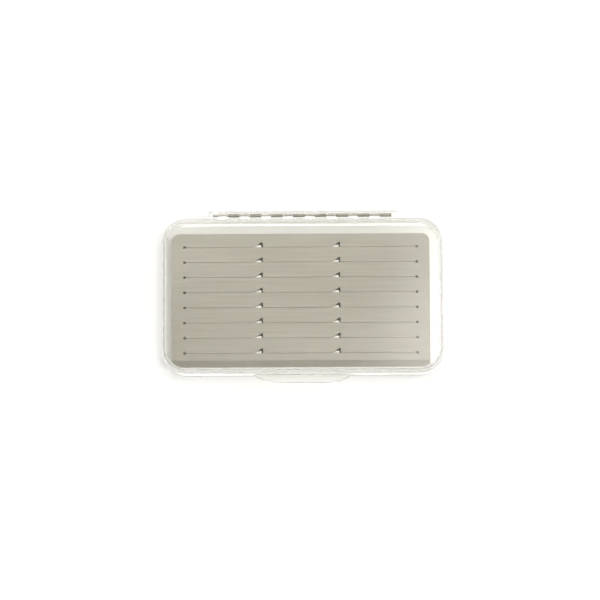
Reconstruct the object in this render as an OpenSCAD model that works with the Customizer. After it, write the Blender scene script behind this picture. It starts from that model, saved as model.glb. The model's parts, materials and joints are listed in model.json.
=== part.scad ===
// Slim clear fly box with a slitted sheet-metal plate that holds flies by their hooks.
// Origin: centre of the base's underside. +X runs along the hinge, the hinge is at the
// rear (+Y), the thumb tab is at the front (-Y) and +Z is up. The lid is drawn closed.

/* [Box] */
// Length of the box at the parting line
body_w = 154; // [150:0.5:180]
// Depth of the box at the parting line, without the hinge and the thumb tab
body_d = 86; // [86:0.5:110]
// Height of the base, up to the parting line
base_h = 10; // [10:0.5:14]
// Height of the lid, from the parting line to its top
lid_h = 10; // [8:0.5:16]
// Radius of the four corners at the parting line
corner_r = 13; // [9:0.5:15]
// Thickness of the side walls
wall = 1.5; // [1.4:0.1:2]
// Thickness of the base's floor and of the lid's top
skin = 1.5; // [1.2:0.1:1.8]
// How far the side walls lean inwards, in degrees
lean = 5; // [3:0.5:7]
// Rounding of the outer edge around the underside and the top
edge_r = 1.5; // [1:0.1:1.8]
// Gap between the rims of the closed halves
seam = 0.1; // [0.05:0.05:0.2]

/* [Closure] */
// Thickness of the tongue under the lid's rim
tongue_t = 0.9; // [0.8:0.1:1.2]
// How far the tongue reaches down into the base
tongue_h = 2; // [1.5:0.1:2.2]
// Clearance between the tongue and the base's wall
tongue_gap = 0.15; // [0.1:0.05:0.3]
// Width of the thumb tab's straight front edge
tab_flat_w = 24; // [10:1:40]
// Radius of the thumb tab's shoulders
tab_r = 25; // [15:1:40]
// Thickness of the thumb tab
tab_t = 2; // [1.5:0.1:2.5]
// Width of each of the two snap beads
bead_w = 7; // [5:0.5:10]
// Distance of each snap bead from the middle
bead_x = 6.3; // [6:0.1:12]
// How far a snap bead stands out from the tongue
bead_out = 0.4; // [0.3:0.05:0.45]

/* [Hinge] */
// Diameter of the steel pin
pin_d = 1.3; // [1:0.1:2]
// Diameter of the knuckles
barrel_d = 4.6; // [4:0.1:5]
// Distance of the pin's centre behind the rear wall
axis_back = 2.8; // [2.6:0.1:3.2]
// Length of the whole row of knuckles
barrel_l = 103.4; // [102:0.1:110]
// Number of knuckles on each half
knuckles = 8; // [4:1:8]
// Width of a base knuckle
base_knuckle_w = 6.4; // [5:0.1:6.6]
// Width of a lid knuckle
lid_knuckle_w = 5.5; // [4.5:0.1:5.6]
// Side gap between neighbouring knuckles
knuckle_gap = 0.3; // [0.15:0.05:0.4]
// Radial clearance of the pin in the lid's knuckles
running_gap = 0.05; // [0.02:0.01:0.1]
// Chamfer at both mouths of each knuckle's bore
bore_chamfer = 0.25; // [0.1:0.05:0.3]

/* [Fly plate] */
// Length of the plate
plate_w = 141.5; // [135:0.5:141.5]
// Depth of the plate's flat part
plate_d = 70.5; // [70:0.5:70.5]
// Thickness of the sheet
plate_t = 0.4; // [0.3:0.05:0.5]
// Height of the plate's underside above the table
plate_z = 6.5; // [6:0.1:6.8]
// Distance from the rear outline of the box to the plate's rear edge
plate_back = 6.9; // [6:0.1:6.9]
// Sideways offset of the plate from the middle of the box
plate_shift = -0.9; // [-1:0.1:1]
// Radius of the plate's corners
plate_corner_r = 4.3; // [2:0.1:5]
// Radius of the corners at the foot of the front lip
lip_corner_r = 3.5; // [2:0.1:4]
// Angle through which the front lip is bent down
lip_angle = 60; // [55:1:75]
// Inside radius of the front lip's bend
bend_r = 0.4; // [0.3:0.1:0.6]

/* [Slits] */
// Number of rows of slits
rows = 8; // [2:1:8]
// Distance between rows
row_pitch = 8.45; // [8:0.05:8.45]
// Distance from the plate's rear edge to the first row
first_row = 7.4; // [7:0.1:7.4]
// Distance between the columns that end the slits
column_pitch = 42.5; // [38:0.5:42.5]
// Width of a slit
kerf = 0.15; // [0.1:0.05:0.4]
// Diameter of the round hole that ends each outer slit
relief_d = 1.4; // [0.8:0.1:1.6]
// Length of a hook entry along its slit
entry_l = 3.8; // [3:0.1:5]
// Width of a hook entry across its slit
entry_w = 2.7; // [2:0.1:2.8]
// Width of the open slot at the end of a hook entry
entry_slot_w = 0.8; // [0.4:0.1:1.2]
// Angle through which an entry's tongue is rolled down
entry_angle = 75; // [50:1:85]
// Radius of the roll of an entry's tongue, to the middle of the sheet
entry_roll_r = 2.1; // [1.6:0.1:2.6]

/* [Foam strips] */
// Width of the foam strips that carry the plate
strip_w = 4; // [2.5:0.1:4]
// Length of each side strip
side_strip_l = 60; // [30:1:60]
// Length of the rear strip
rear_strip_l = 132; // [60:1:134]

/* [Hidden] */
$fn = 96;

clear_plastic = [0.9, 0.92, 0.9, 0.35];
metal = [0.72, 0.7, 0.64];
bright_steel = [0.75, 0.75, 0.76];
pale_foam = [0.86, 0.86, 0.84];

// How far joined shapes run into each other, and how far cuts run past a surface
overlap = 0.6;
cut_over = 1;
// Straight steps that make up a rounded edge
arc_steps = 8;

half_d = body_d / 2;
// Centres of the corner arcs
side_x = body_w / 2 - corner_r;
side_y = half_d - corner_r;
axis_y = half_d + axis_back;
axis_z = base_h;
barrel_r = barrel_d / 2;
pin_r = pin_d / 2;

// Inside rounding where a wall meets the floor or the top
inner_edge_r = 0.6;

// Tongue ring, as distances from the centre of a corner. It leans with the base's wall.
tongue_out_r = corner_r - wall - tongue_gap;
tongue_in_r = tongue_out_r - tongue_t;
tongue_root_h = 2.2;
tongue_bevel = 0.25;

// Snap beads on the front of the tongue, in a shallow pocket, facing grooves in the base's wall
bead_r = 0.45;
bead_clearance = 0.05;
bead_z = base_h - 1.05;
bead_tip_y = -(half_d - wall - (base_h - bead_z) * tan(lean) - bead_clearance);
pocket_w = 2 * (bead_x + bead_w);

tab_edge = 0.5;

// Knuckle row: it ends in a solid stop at each end, with a window for the pin on the left
stop_w = 2.6;
pair_w = base_knuckle_w + lid_knuckle_w;
row_end = barrel_l / 2 - stop_w;
row_start = row_end - knuckles * pair_w;
pin_start = -barrel_l / 2 + stop_w + 0.1;
pin_end = row_end - 0.1;
pin_chamfer = 0.2;
stop_chamfer = 1;
web_tilt = 82;

// Plate
plate_rear_y = half_d - plate_back;
crease_y = plate_rear_y - plate_d;
foot_gap = 0.05;
bend_centre_z = plate_z - bend_r;
lip_l = (bend_centre_z + bend_r * cos(lip_angle) - skin - foot_gap) / sin(lip_angle);
columns = 3;

// Foam strips: how far their outer faces stay inside the edges of the plate
side_strip_inset = 1;
side_strip_x = plate_w / 2 - side_strip_inset - strip_w / 2;
side_strip_y = crease_y + plate_d / 2 - 1;
rear_strip_inset = 0.6;
rear_strip_y = plate_rear_y - rear_strip_inset - strip_w / 2;

// Points of an arc from angle a0 to a1, without its centre.
function arc(centre, r, a0, a1) =
    [for (i = [0:arc_steps]) let (a = a0 + (a1 - a0) * i / arc_steps) centre + r * [cos(a), sin(a)]];

// Half section of a drafted block: x is the distance from the centre of a corner, y the height.
// The wall leans in towards the bottom, where it is rounded, and meets rim_r at height h.
function block_section(rim_r, h, round_r, top) =
    let (centre_x = rim_r - round_r * cos(lean) - (h - round_r + round_r * sin(lean)) * tan(lean))
    concat([[0, 0]],
           arc([centre_x, round_r], round_r, -90, -lean),
           [[rim_r + (top - h) * tan(lean), top], [0, top]]);

// Sweeps a section around the box's outline: a quarter turn at each corner, straight between them.
module sweep_outline(section) {
    for (sx = [0, 1], sy = [0, 1])
        mirror([sx, 0, 0]) mirror([0, sy, 0])
            translate([side_x, side_y, 0]) rotate_extrude(angle = 90) polygon(section);
    for (side = [0, 1]) {
        mirror([side, 0, 0]) translate([side_x, 0, 0])
            rotate([90, 0, 0]) linear_extrude(2 * side_y, center = true) polygon(section);
        mirror([0, side, 0]) translate([0, side_y, 0])
            rotate([90, 0, 90]) linear_extrude(2 * side_x, center = true) polygon(section);
    }
}

// Solid block with rounded corners and leaning side walls, rim_r being its corner radius at height h.
module drafted_block(rim_r, h, round_r, top) {
    sweep_outline(block_section(rim_r, h, round_r, top));
    translate([-side_x, -side_y, 0]) cube([2 * side_x, 2 * side_y, top]);
}

// Open tray of height h, standing on z = 0, with its rim at h less half the seam.
module tray(h) {
    difference() {
        drafted_block(corner_r, h, edge_r, h - seam / 2);
        translate([0, 0, skin])
            drafted_block(corner_r - wall, h - skin, inner_edge_r, h - skin + cut_over);
    }
}

// Web that joins a knuckle to the wall of the base, in the plane across the pin.
module web_section() {
    tangent = barrel_r * [cos(web_tilt), -sin(web_tilt)];
    wall_x = -axis_back - overlap;
    foot_z = tangent[1] + (wall_x - tangent[0]) / tan(web_tilt);
    polygon([[wall_x, -seam / 2], [0, -seam / 2], tangent, [wall_x, foot_z]]);
}

// Bore of a knuckle of length l, with both mouths chamfered.
module knuckle_bore(l, bore_r) {
    rotate([0, 90, 0]) {
        translate([0, 0, -cut_over]) cylinder(h = l + 2 * cut_over, r = bore_r);
        for (mouth = [0, 1])
            translate([0, 0, mouth * l]) mirror([0, 0, mouth]) translate([0, 0, -bore_chamfer])
                cylinder(h = 2 * bore_chamfer, r1 = bore_r + 2 * bore_chamfer, r2 = bore_r);
    }
}

// Knuckle from x0 to x1 with its web below the pin's centre.
module knuckle(x0, x1, bore_r) {
    translate([x0, axis_y, axis_z]) difference() {
        union() {
            rotate([0, 90, 0]) cylinder(h = x1 - x0, d = barrel_d);
            rotate([90, 0, 90]) linear_extrude(x1 - x0) web_section();
        }
        if (bore_r > 0) knuckle_bore(x1 - x0, bore_r);
    }
}

// Stop at the left end of the knuckle row, with a sloping outer end.
module left_stop() {
    x0 = -barrel_l / 2;
    translate([x0, axis_y, axis_z]) {
        rotate([0, 90, 0]) cylinder(h = stop_chamfer, r1 = barrel_r - stop_chamfer, r2 = barrel_r);
        translate([stop_chamfer, 0, 0]) {
            rotate([0, 90, 0]) cylinder(h = stop_w - stop_chamfer, d = barrel_d);
            rotate([90, 0, 90]) linear_extrude(stop_w - stop_chamfer) web_section();
        }
    }
}

// Groove that faces one snap bead.
module snap_groove(x) {
    translate([x - bead_w / 2 - bead_r, -(half_d - wall), bead_z])
        rotate([0, 90, 0]) cylinder(h = bead_w + 2 * bead_r, r = bead_r);
}

module base_shell() {
    color(clear_plastic) {
        difference() {
            tray(base_h);
            for (side = [-1, 1]) snap_groove(side * bead_x);
        }
        left_stop();
        for (i = [0:knuckles - 1]) {
            x0 = row_start + i * pair_w + lid_knuckle_w;
            knuckle(x0, x0 + base_knuckle_w - knuckle_gap, pin_r);
        }
        knuckle(row_end, barrel_l / 2, 0);
    }
}

// Snap bead with rounded ends.
module snap_bead(x) {
    translate([x, bead_tip_y + bead_r, bead_z]) {
        rotate([0, 90, 0]) cylinder(h = bead_w, r = bead_r, center = true);
        for (side = [-1, 1]) translate([side * bead_w / 2, 0, 0]) sphere(bead_r);
    }
}

// Thumb tab: a flat lip with a straight front edge, rounded shoulders and softened edges.
module thumb_tab() {
    front_y = -(axis_y + barrel_r);
    root_y = -(half_d - wall * 0.75);
    section = [[0, 0], [tab_r - tab_edge, 0], [tab_r, tab_edge], [tab_r, tab_t - tab_edge],
               [tab_r - tab_edge, tab_t], [0, tab_t]];
    intersection() {
        translate([0, front_y + tab_r, base_h + seam / 2]) {
            for (side = [-1, 1])
                translate([side * tab_flat_w / 2, 0, 0]) rotate_extrude($fn = 240) polygon(section);
            rotate([90, 0, -90]) linear_extrude(tab_flat_w, center = true) polygon(section);
        }
        translate([-body_w / 2, front_y - cut_over, base_h])
            cube([body_w, root_y - front_y + cut_over, tab_t + cut_over]);
    }
}

// Tongue around the lid's rim, rooted in the lid's wall, with a pocket for the snap beads.
module tongue_ring() {
    z0 = base_h - tongue_h;
    z1 = base_h + tongue_root_h;
    foot_r = tongue_out_r - (tongue_h - tongue_bevel) * tan(lean);
    root_r = corner_r - wall + overlap;
    pocket_y = bead_tip_y + bead_out;
    difference() {
        sweep_outline([[tongue_in_r, z0], [foot_r - tongue_bevel, z0], [foot_r, z0 + tongue_bevel],
                       [tongue_out_r, base_h + seam / 2], [root_r, base_h + seam / 2],
                       [root_r - tongue_root_h * tan(lean), z1],
                       [tongue_in_r + tongue_t / 2, z1], [tongue_in_r, z1 - tongue_t]]);
        translate([-pocket_w / 2, pocket_y - 2 * bead_out, z0 - cut_over])
            cube([pocket_w, 2 * bead_out, tongue_h + cut_over]);
    }
}

module lid_shell() {
    color(clear_plastic) {
        translate([0, 0, base_h + lid_h]) mirror([0, 0, 1]) tray(lid_h);
        tongue_ring();
        for (side = [-1, 1]) snap_bead(side * bead_x);
        thumb_tab();
        translate([0, 0, 2 * axis_z]) mirror([0, 0, 1])
            for (i = [0:knuckles - 1]) {
                x0 = row_start + i * pair_w;
                knuckle(x0, x0 + lid_knuckle_w - knuckle_gap, pin_r + running_gap);
            }
    }
}

module hinge_pin() {
    length = pin_end - pin_start;
    color(bright_steel)
        translate([pin_start, axis_y, axis_z]) rotate([0, 90, 0]) {
            cylinder(h = pin_chamfer, r1 = pin_r - pin_chamfer, r2 = pin_r);
            translate([0, 0, pin_chamfer]) cylinder(h = length - 2 * pin_chamfer, r = pin_r);
            translate([0, 0, length - pin_chamfer])
                cylinder(h = pin_chamfer, r1 = pin_r, r2 = pin_r - pin_chamfer);
        }
}

// Flat sheet from y = 0 to y = d, with its two far corners rounded.
module sheet_outline(w, d, r) {
    translate([-w / 2, 0]) square([w, d - r]);
    intersection() {
        union() {
            translate([-w / 2 + r, 0]) square([w - 2 * r, d]);
            for (side = [-1, 1]) translate([side * (w / 2 - r), d - r]) circle(r);
        }
        translate([-w / 2, 0]) square([w, d]);
    }
}

function row_y(i) = plate_rear_y - first_row - i * row_pitch;
function column_x(j) = (j - columns / 2) * column_pitch;

// One row of slits: a round hole at each outer end and a hook entry at each inner column.
module row_cut() {
    for (j = [0, columns]) translate([column_x(j), 0]) circle(d = relief_d);
    for (j = [0:columns - 1]) {
        x1 = j == columns - 1 ? column_x(j + 1) : column_x(j + 1) - entry_slot_w / 2 - entry_l + kerf;
        translate([column_x(j), -kerf / 2]) square([x1 - column_x(j), kerf]);
    }
    for (j = [1:columns - 1])
        translate([column_x(j), -kerf / 2])
            polygon([[entry_slot_w / 2, 0], [entry_slot_w / 2, entry_w], [-entry_slot_w / 2, entry_w],
                     [-entry_slot_w / 2 - entry_l, 0]]);
}

// Tongue cut free at a hook entry and rolled down from the slit's front lip.
module entry_tongue() {
    length = entry_l - kerf;
    rolled_w = (entry_roll_r + plate_t / 2) * sin(entry_angle);
    translate([-entry_slot_w / 2 - length, -kerf / 2, plate_z + plate_t / 2]) intersection() {
        translate([0, 0, -entry_roll_r]) rotate([90, 0, 90]) rotate([0, 0, 90 - entry_angle])
            rotate_extrude(angle = entry_angle)
                translate([entry_roll_r - plate_t / 2, 0]) square([plate_t, length]);
        translate([0, 0, -2 * entry_roll_r]) linear_extrude(3 * entry_roll_r)
            polygon([[0, 0], [length, 0], [length, rolled_w]]);
    }
}

module fly_plate() {
    color(metal) translate([plate_shift, 0, 0]) {
        translate([0, 0, plate_z]) linear_extrude(plate_t) difference() {
            translate([0, crease_y]) sheet_outline(plate_w, plate_d, plate_corner_r);
            for (i = [0:rows - 1]) translate([0, row_y(i)]) row_cut();
        }
        for (i = [0:rows - 1], j = [1:columns - 1])
            translate([column_x(j), row_y(i), 0]) entry_tongue();
        translate([0, crease_y, bend_centre_z]) {
            rotate([90, 0, 90]) linear_extrude(plate_w, center = true)
                polygon(concat(arc([0, 0], bend_r + plate_t, 90, 90 + lip_angle),
                               arc([0, 0], bend_r, 90 + lip_angle, 90)));
            rotate([lip_angle, 0, 0]) translate([0, 0, bend_r]) linear_extrude(plate_t)
                mirror([0, 1]) sheet_outline(plate_w, lip_l, lip_corner_r);
        }
    }
}

// Strip of foam between the base's floor and the plate.
module foam_strip(size_x, size_y) {
    translate([-size_x / 2, -size_y / 2, skin]) cube([size_x, size_y, plate_z - skin]);
}

module side_strip(side) {
    color(pale_foam)
        translate([plate_shift + side * side_strip_x, side_strip_y, 0]) foam_strip(strip_w, side_strip_l);
}

module foam_strip_left() { side_strip(-1); }
module foam_strip_right() { side_strip(1); }

module foam_strip_rear() {
    color(pale_foam) translate([plate_shift, rear_strip_y, 0]) foam_strip(rear_strip_l, strip_w);
}

base_shell();
lid_shell();
hinge_pin();
fly_plate();
foam_strip_left();
foam_strip_right();
foam_strip_rear();
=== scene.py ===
"""Visual model of a slim clear fly box: clear plastic shells, a slitted satin plate and a steel hinge pin.

Everything is in metres, in the CAD frame: +X along the hinge, +Y to the hinge, +Z up, lid closed.
"""
import json
import math

import bpy
from mathutils import Euler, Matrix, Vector

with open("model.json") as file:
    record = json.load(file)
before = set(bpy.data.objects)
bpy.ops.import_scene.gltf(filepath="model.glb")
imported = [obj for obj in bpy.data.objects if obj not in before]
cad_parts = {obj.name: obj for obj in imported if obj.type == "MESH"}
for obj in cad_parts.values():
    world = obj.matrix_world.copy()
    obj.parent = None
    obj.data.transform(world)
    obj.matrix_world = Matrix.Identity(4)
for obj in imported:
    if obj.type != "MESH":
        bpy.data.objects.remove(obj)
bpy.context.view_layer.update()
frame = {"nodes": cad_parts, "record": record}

MM = 0.001

# Camera: where it looks from, how much it sees and what it aims at
CAMERA_ELEVATION = math.radians(79.5)
CAMERA_ROLL = math.radians(0.3)
CAMERA_DISTANCE = 2.4
CAMERA_RANGE = 20
SENSOR_WIDTH = 36
FIELD_WIDTH = 0.330
AIM = Vector((-1.4 * MM, 0.4 * MM, 0.0))

# Floor: half its width, how far it lies under the box and its colour
FLOOR_HALF = 3.0
FLOOR_DROP = 0.02 * MM
FLOOR_COLOUR = (0.93, 0.93, 0.925)

# Studio light: a room that is a little paler near the horizon than overhead, with soft sources in it.
# The change takes place between two heights on a sphere of radius 1.
AMBIENT_HORIZON = 0.67
AMBIENT_OVERHEAD = 0.555
HORIZON_HEIGHT = 0.15
OVERHEAD_HEIGHT = 0.75
LIGHT_TINT = (1.0, 0.998, 0.993)
# Each source has a direction, the angles at which it is fully bright and faded out, and a strength
SOURCES = (
    (Vector((1.0, 0.07, 0.95)), math.radians(6), math.radians(16), 9.4),
    (Vector((-0.15, 0.45, 1.0)), math.radians(4), math.radians(10), 5.5),
    (Vector((0.184, 0.113, 0.976)), math.radians(9.2), math.radians(10.6), 2.85),
    (Vector((0.05, 0.75, 0.64)), math.radians(5), math.radians(14), 4.7),
    (Vector((0.35, -0.95, 0.10)), math.radians(10), math.radians(50), 0.8),
)

# Clear plastic: its tints are for looking through it and for shadows cast by level and upright faces
PLASTIC_IOR = 1.46
PLASTIC_TINT = (0.99, 0.986, 0.968)
SHADOW_FLAT = (0.992, 0.99, 0.98)
SHADOW_STEEP = (0.82, 0.81, 0.79)
# Roughness of the upright walls, which are duller than the polished level faces. The height of a face's
# normal tells them apart: up to the first value it is a wall, from the second on it is level.
WALL_ROUGHNESS = 0.2
WALL_NORMAL = 0.95
LEVEL_NORMAL = 0.999
# Number of bounces after which light that is trapped inside the plastic is let straight out
LONGEST_PATH = 3

# Metals, as the dark and the light end of their grain; on the plate a painted shade towards the front also
# moves the colour towards the dark end
SATIN_DARK = (0.303, 0.288, 0.241)
SATIN_LIGHT = (0.402, 0.385, 0.332)
# Painted highlight for the plate's faces that lean to the rear
PAINTED_HIGHLIGHT = (0.57, 0.55, 0.51)
WIRE_DARK = (0.30, 0.275, 0.225)
WIRE_LIGHT = (0.42, 0.39, 0.33)

# Foam: the darker colour is painted shade in its pits
FOAM_DARK = (0.50, 0.50, 0.48)
FOAM_LIGHT = (0.68, 0.68, 0.66)

# The hinge's axis, as y and z, and a distance from it that only the bores' walls are within
HINGE_AXIS = frame["record"]["behaviour"]["joints"][0]["pos_m"][1:]
BORE_REACH = 0.8 * MM

# Most of a noise texture's values lie between these two
NOISE_LOW = 0.3
NOISE_HIGH = 0.7


# Node helpers

def new_material(name):
    """An empty node material with its output node."""
    material = bpy.data.materials.new(name)
    material.use_nodes = True
    nodes = material.node_tree.nodes
    nodes.clear()
    output = nodes.new("ShaderNodeOutputMaterial")
    return material, material.node_tree, output


def math_node(tree, operation, first, second):
    """A math node; an input given as a number stays a constant, a socket is linked."""
    node = tree.nodes.new("ShaderNodeMath")
    node.operation = operation
    for slot, value in enumerate((first, second)):
        if isinstance(value, (int, float)):
            node.inputs[slot].default_value = value
        else:
            tree.links.new(value, node.inputs[slot])
    return node.outputs[0]


def ramp(tree, value, low, high, to_low=0.0, to_high=1.0, smooth=False):
    """Maps a value from one range to another."""
    node = tree.nodes.new("ShaderNodeMapRange")
    node.interpolation_type = "SMOOTHSTEP" if smooth else "LINEAR"
    tree.links.new(value, node.inputs["Value"])
    for name, number in (("From Min", low), ("From Max", high), ("To Min", to_low), ("To Max", to_high)):
        node.inputs[name].default_value = number
    return node.outputs["Result"]


def noise_ramp(tree, value, to_low=0.0, to_high=1.0):
    """Spreads the usual range of a noise texture over another range."""
    return ramp(tree, value, NOISE_LOW, NOISE_HIGH, to_low, to_high)


def object_coordinates(tree):
    return tree.nodes.new("ShaderNodeTexCoord").outputs["Object"]


def noise(tree, scale, detail=2.0):
    """Noise in object space, with a scale of its own along each axis, in waves per metre."""
    mapping = tree.nodes.new("ShaderNodeMapping")
    mapping.inputs["Scale"].default_value = scale
    tree.links.new(object_coordinates(tree), mapping.inputs["Vector"])
    texture = tree.nodes.new("ShaderNodeTexNoise")
    texture.inputs["Scale"].default_value = 1.0
    texture.inputs["Detail"].default_value = detail
    tree.links.new(mapping.outputs["Vector"], texture.inputs["Vector"])
    return texture.outputs["Fac"]


def split(tree, vector):
    """The X, Y and Z outputs of a vector."""
    node = tree.nodes.new("ShaderNodeSeparateXYZ")
    tree.links.new(vector, node.inputs[0])
    return node.outputs


def surface_normal(tree):
    return split(tree, tree.nodes.new("ShaderNodeNewGeometry").outputs["Normal"])


def blend_colours(tree, factor, dark, light):
    """Blends two colours; one given as a tuple stays a constant, a socket is linked."""
    node = tree.nodes.new("ShaderNodeMix")
    node.data_type = "RGBA"
    tree.links.new(factor, node.inputs["Factor"])
    for slot, colour in (("A", dark), ("B", light)):
        if isinstance(colour, tuple):
            node.inputs[slot].default_value = (*colour, 1)
        else:
            tree.links.new(colour, node.inputs[slot])
    return node.outputs["Result"]


def bump(tree, height, distance, strength=1.0):
    node = tree.nodes.new("ShaderNodeBump")
    node.inputs["Distance"].default_value = distance
    node.inputs["Strength"].default_value = strength
    tree.links.new(height, node.inputs["Height"])
    return node.outputs["Normal"]


# Materials

def clear_plastic(name, smoothest, roughest, touching=0.0):
    """Clear moulded plastic: it refracts what is seen and lets light and shadow straight through, tinted."""
    material, tree, output = new_material(name)
    glass = tree.nodes.new("ShaderNodeBsdfPrincipled")
    glass.inputs["Base Color"].default_value = (*PLASTIC_TINT, 1)
    glass.inputs["IOR"].default_value = PLASTIC_IOR
    glass.inputs["Transmission Weight"].default_value = 1.0
    level = math_node(tree, "ABSOLUTE", surface_normal(tree)["Z"], 0)
    dullness = ramp(tree, level, WALL_NORMAL, LEVEL_NORMAL, WALL_ROUGHNESS, 0.0)
    polish = noise_ramp(tree, noise(tree, (60, 60, 60)), smoothest, roughest)
    tree.links.new(math_node(tree, "ADD", polish, dullness), glass.inputs["Roughness"])
    waviness = noise(tree, (35, 35, 35), 1.0)
    tree.links.new(bump(tree, waviness, 0.02 * MM, 0.2), glass.inputs["Normal"])

    # Rays for light and shadow pass straight through, and so do those that are trapped in the plastic
    path = tree.nodes.new("ShaderNodeLightPath")
    plain = math_node(tree, "MAXIMUM", path.outputs["Is Shadow Ray"], path.outputs["Is Diffuse Ray"])
    trapped = math_node(tree, "GREATER_THAN", path.outputs["Ray Depth"], LONGEST_PATH)
    plain = math_node(tree, "MAXIMUM", plain, trapped)
    facing = tree.nodes.new("ShaderNodeLayerWeight")
    steep = math_node(tree, "MULTIPLY", math_node(tree, "POWER", facing.outputs["Facing"], 2.0), plain)
    through = tree.nodes.new("ShaderNodeBsdfTransparent")
    tree.links.new(blend_colours(tree, steep, SHADOW_FLAT, SHADOW_STEEP), through.inputs["Color"])

    # Rays from another surface's reflection pass too, and a share of all rays where the wall touches the pin
    inside = math_node(tree, "MODULO", path.outputs["Transmission Depth"], 2)
    refracted = math_node(tree, "MAXIMUM", path.outputs["Is Transmission Ray"], inside)
    mirrored = math_node(tree, "SUBTRACT", path.outputs["Is Glossy Ray"], refracted)
    plain = math_node(tree, "MAXIMUM", math_node(tree, "MAXIMUM", plain, mirrored), touching)
    mix = tree.nodes.new("ShaderNodeMixShader")
    tree.links.new(plain, mix.inputs["Fac"])
    tree.links.new(glass.outputs[0], mix.inputs[1])
    tree.links.new(through.outputs[0], mix.inputs[2])
    tree.links.new(mix.outputs[0], output.inputs["Surface"])
    return material


def brushed_metal():
    """Satin sheet brushed lengthwise: fine grain, longer streaks, a faint large-scale change of tone,
    painted shade towards the front and a painted highlight on faces that lean to the rear.
    """
    material, tree, output = new_material("brushed_metal")
    metal = tree.nodes.new("ShaderNodeBsdfPrincipled")
    metal.inputs["Metallic"].default_value = 1.0
    grain = noise(tree, (120, 5000, 5000), 3.0)
    streaks = noise(tree, (28, 900, 900), 3.0)
    tone = noise(tree, (9, 14, 14), 1.0)
    # Painted shade: the plate's colour is made darker towards the front, where less light falls
    front_to_rear = split(tree, object_coordinates(tree))["Y"]
    grain_and_painted_shade = ramp(tree, front_to_rear, -20 * MM, 20 * MM, -0.07, 0.0)
    for pattern, share in ((streaks, 0.45), (tone, 0.4), (grain, 0.15)):
        grain_and_painted_shade = math_node(tree, "ADD", grain_and_painted_shade, math_node(tree, "MULTIPLY", pattern, share))
    colour = blend_colours(tree, noise_ramp(tree, grain_and_painted_shade), SATIN_DARK, SATIN_LIGHT)
    # Faces that lean to the rear, such as the rolled-down tongues, get a painted highlight: a lighter colour
    # standing in for the rear light that they mirror
    rear_lean_highlight = ramp(tree, surface_normal(tree)["Y"], 0.03, 0.12)
    tree.links.new(blend_colours(tree, rear_lean_highlight, colour, PAINTED_HIGHLIGHT), metal.inputs["Base Color"])
    tree.links.new(noise_ramp(tree, grain, 0.36, 0.48), metal.inputs["Roughness"])
    tree.links.new(bump(tree, grain, 0.01 * MM, 0.4), metal.inputs["Normal"])
    tree.links.new(metal.outputs[0], output.inputs["Surface"])
    return material


def pin_steel():
    """Drawn wire: fine draw marks along its length."""
    material, tree, output = new_material("pin_steel")
    metal = tree.nodes.new("ShaderNodeBsdfPrincipled")
    metal.inputs["Metallic"].default_value = 1.0
    marks = noise(tree, (60, 4000, 4000), 2.0)
    colour = blend_colours(tree, noise_ramp(tree, marks), WIRE_DARK, WIRE_LIGHT)
    tree.links.new(colour, metal.inputs["Base Color"])
    tree.links.new(noise_ramp(tree, marks, 0.22, 0.38), metal.inputs["Roughness"])
    tree.links.new(metal.outputs[0], output.inputs["Surface"])
    return material


def pale_foam():
    """Closed-cell foam: pale, matte and finely pitted, with painted shade that darkens its pits."""
    material, tree, output = new_material("pale_foam")
    foam = tree.nodes.new("ShaderNodeBsdfPrincipled")
    cells = tree.nodes.new("ShaderNodeTexVoronoi")
    cells.inputs["Scale"].default_value = 2500
    tree.links.new(object_coordinates(tree), cells.inputs["Vector"])
    pits = cells.outputs["Distance"]
    # Painted shade: the colour is darker towards the middle of each pit
    colour = blend_colours(tree, ramp(tree, pits, 0.0, 0.7), FOAM_DARK, FOAM_LIGHT)
    tree.links.new(colour, foam.inputs["Base Color"])
    foam.inputs["Roughness"].default_value = 0.9
    tree.links.new(bump(tree, pits, 0.1 * MM, 0.6), foam.inputs["Normal"])
    tree.links.new(foam.outputs[0], output.inputs["Surface"])
    return material


def floor_paper():
    material, tree, output = new_material("floor_white")
    paper = tree.nodes.new("ShaderNodeBsdfPrincipled")
    paper.inputs["Base Color"].default_value = (*FLOOR_COLOUR, 1)
    paper.inputs["Roughness"].default_value = 0.9
    tree.links.new(paper.outputs[0], output.inputs["Surface"])
    return material


# The box

def assign(obj, material):
    obj.data.materials.clear()
    obj.data.materials.append(material)


def frost_bores(obj, frosted):
    """Gives the as-moulded walls of the hinge bores a frosted surface."""
    obj.data.materials.append(frosted)
    frosted_slot = len(obj.data.materials) - 1
    hinge_y, hinge_z = HINGE_AXIS
    to_world = obj.matrix_world
    for polygon in obj.data.polygons:
        corners = [to_world @ obj.data.vertices[index].co for index in polygon.vertices]
        if all(math.hypot(corner.y - hinge_y, corner.z - hinge_z) < BORE_REACH for corner in corners):
            polygon.material_index = frosted_slot


def soften(obj, angle=30):
    """Smooth shading across edges shallower than the angle, which keeps flat faces flat."""
    obj.data.shade_smooth()
    obj.data.set_sharp_from_angle(angle=math.radians(angle))
    weighted = obj.modifiers.new("face_weighted_normals", "WEIGHTED_NORMAL")
    weighted.keep_sharp = True


def finish_box(nodes):
    polished = clear_plastic("clear_plastic", smoothest=0.01, roughest=0.035)
    frosted = clear_plastic("frosted_bore", smoothest=0.28, roughest=0.36, touching=0.4)
    for name in ("base_shell", "lid_shell"):
        assign(nodes[name], polished)
        frost_bores(nodes[name], frosted)
        soften(nodes[name])
    assign(nodes["fly_plate"], brushed_metal())
    assign(nodes["hinge_pin"], pin_steel())
    foam = pale_foam()
    for name in ("foam_strip_left", "foam_strip_right", "foam_strip_rear"):
        assign(nodes[name], foam)


# The studio

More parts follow.
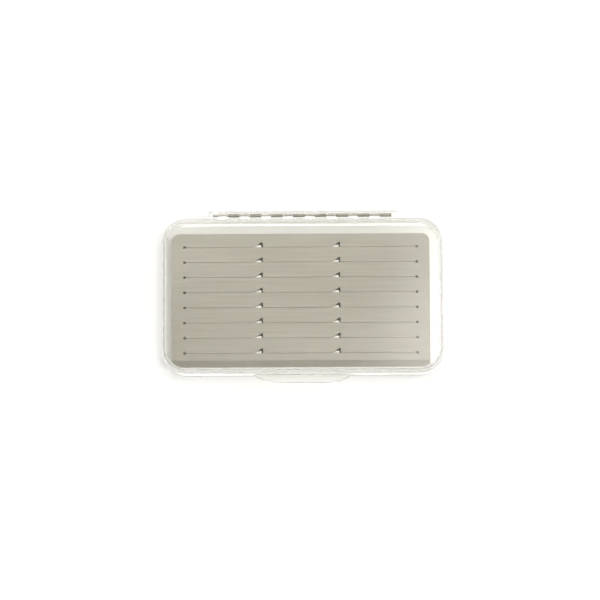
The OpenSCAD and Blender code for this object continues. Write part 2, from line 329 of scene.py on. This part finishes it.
def build_floor():
    mesh = bpy.data.meshes.new("floor")
    corners = [(-1, -1), (1, -1), (1, 1), (-1, 1)]
    mesh.from_pydata([(x * FLOOR_HALF, y * FLOOR_HALF, 0) for x, y in corners], [], [range(len(corners))])
    mesh.materials.append(floor_paper())
    floor = bpy.data.objects.new("floor", mesh)
    floor.location.z = -FLOOR_DROP
    bpy.context.scene.collection.objects.link(floor)


def build_light():
    world = bpy.data.worlds.new("studio")
    world.use_nodes = True
    tree = world.node_tree
    background = tree.nodes["Background"]
    background.inputs["Color"].default_value = (*LIGHT_TINT, 1)
    view = tree.nodes.new("ShaderNodeTexCoord").outputs["Generated"]
    height = split(tree, view)["Z"]
    strength = ramp(tree, height, HORIZON_HEIGHT, OVERHEAD_HEIGHT, AMBIENT_HORIZON, AMBIENT_OVERHEAD)
    for direction, inner, outer, brightness in SOURCES:
        towards = tree.nodes.new("ShaderNodeVectorMath")
        towards.operation = "DOT_PRODUCT"
        towards.inputs[1].default_value = direction.normalized()
        tree.links.new(view, towards.inputs[0])
        source = ramp(tree, towards.outputs["Value"], math.cos(outer), math.cos(inner), 0, brightness, True)
        strength = math_node(tree, "ADD", strength, source)
    tree.links.new(strength, background.inputs["Strength"])
    bpy.context.scene.world = world


def build_camera():
    data = bpy.data.cameras.new("camera")
    data.sensor_width = SENSOR_WIDTH
    data.lens = SENSOR_WIDTH * CAMERA_DISTANCE / FIELD_WIDTH
    data.clip_end = CAMERA_RANGE
    camera = bpy.data.objects.new("camera", data)
    direction = Vector((0, -math.cos(CAMERA_ELEVATION), math.sin(CAMERA_ELEVATION)))
    camera.location = AIM + direction * CAMERA_DISTANCE
    look = (-direction).to_track_quat("-Z", "Y")
    camera.rotation_euler = (look @ Euler((0, 0, -CAMERA_ROLL)).to_quaternion()).to_euler()
    bpy.context.scene.collection.objects.link(camera)
    bpy.context.scene.camera = camera


def allow_long_paths():
    """Light passes many clear surfaces before it reaches the plate."""
    cycles = bpy.context.scene.cycles
    cycles.max_bounces = 32
    cycles.transmission_bounces = 32
    cycles.transparent_max_bounces = 32
    cycles.glossy_bounces = 16


finish_box(frame["nodes"])
build_floor()
build_light()
build_camera()
allow_long_paths()
bpy.context.scene.view_settings.view_transform = "Standard"
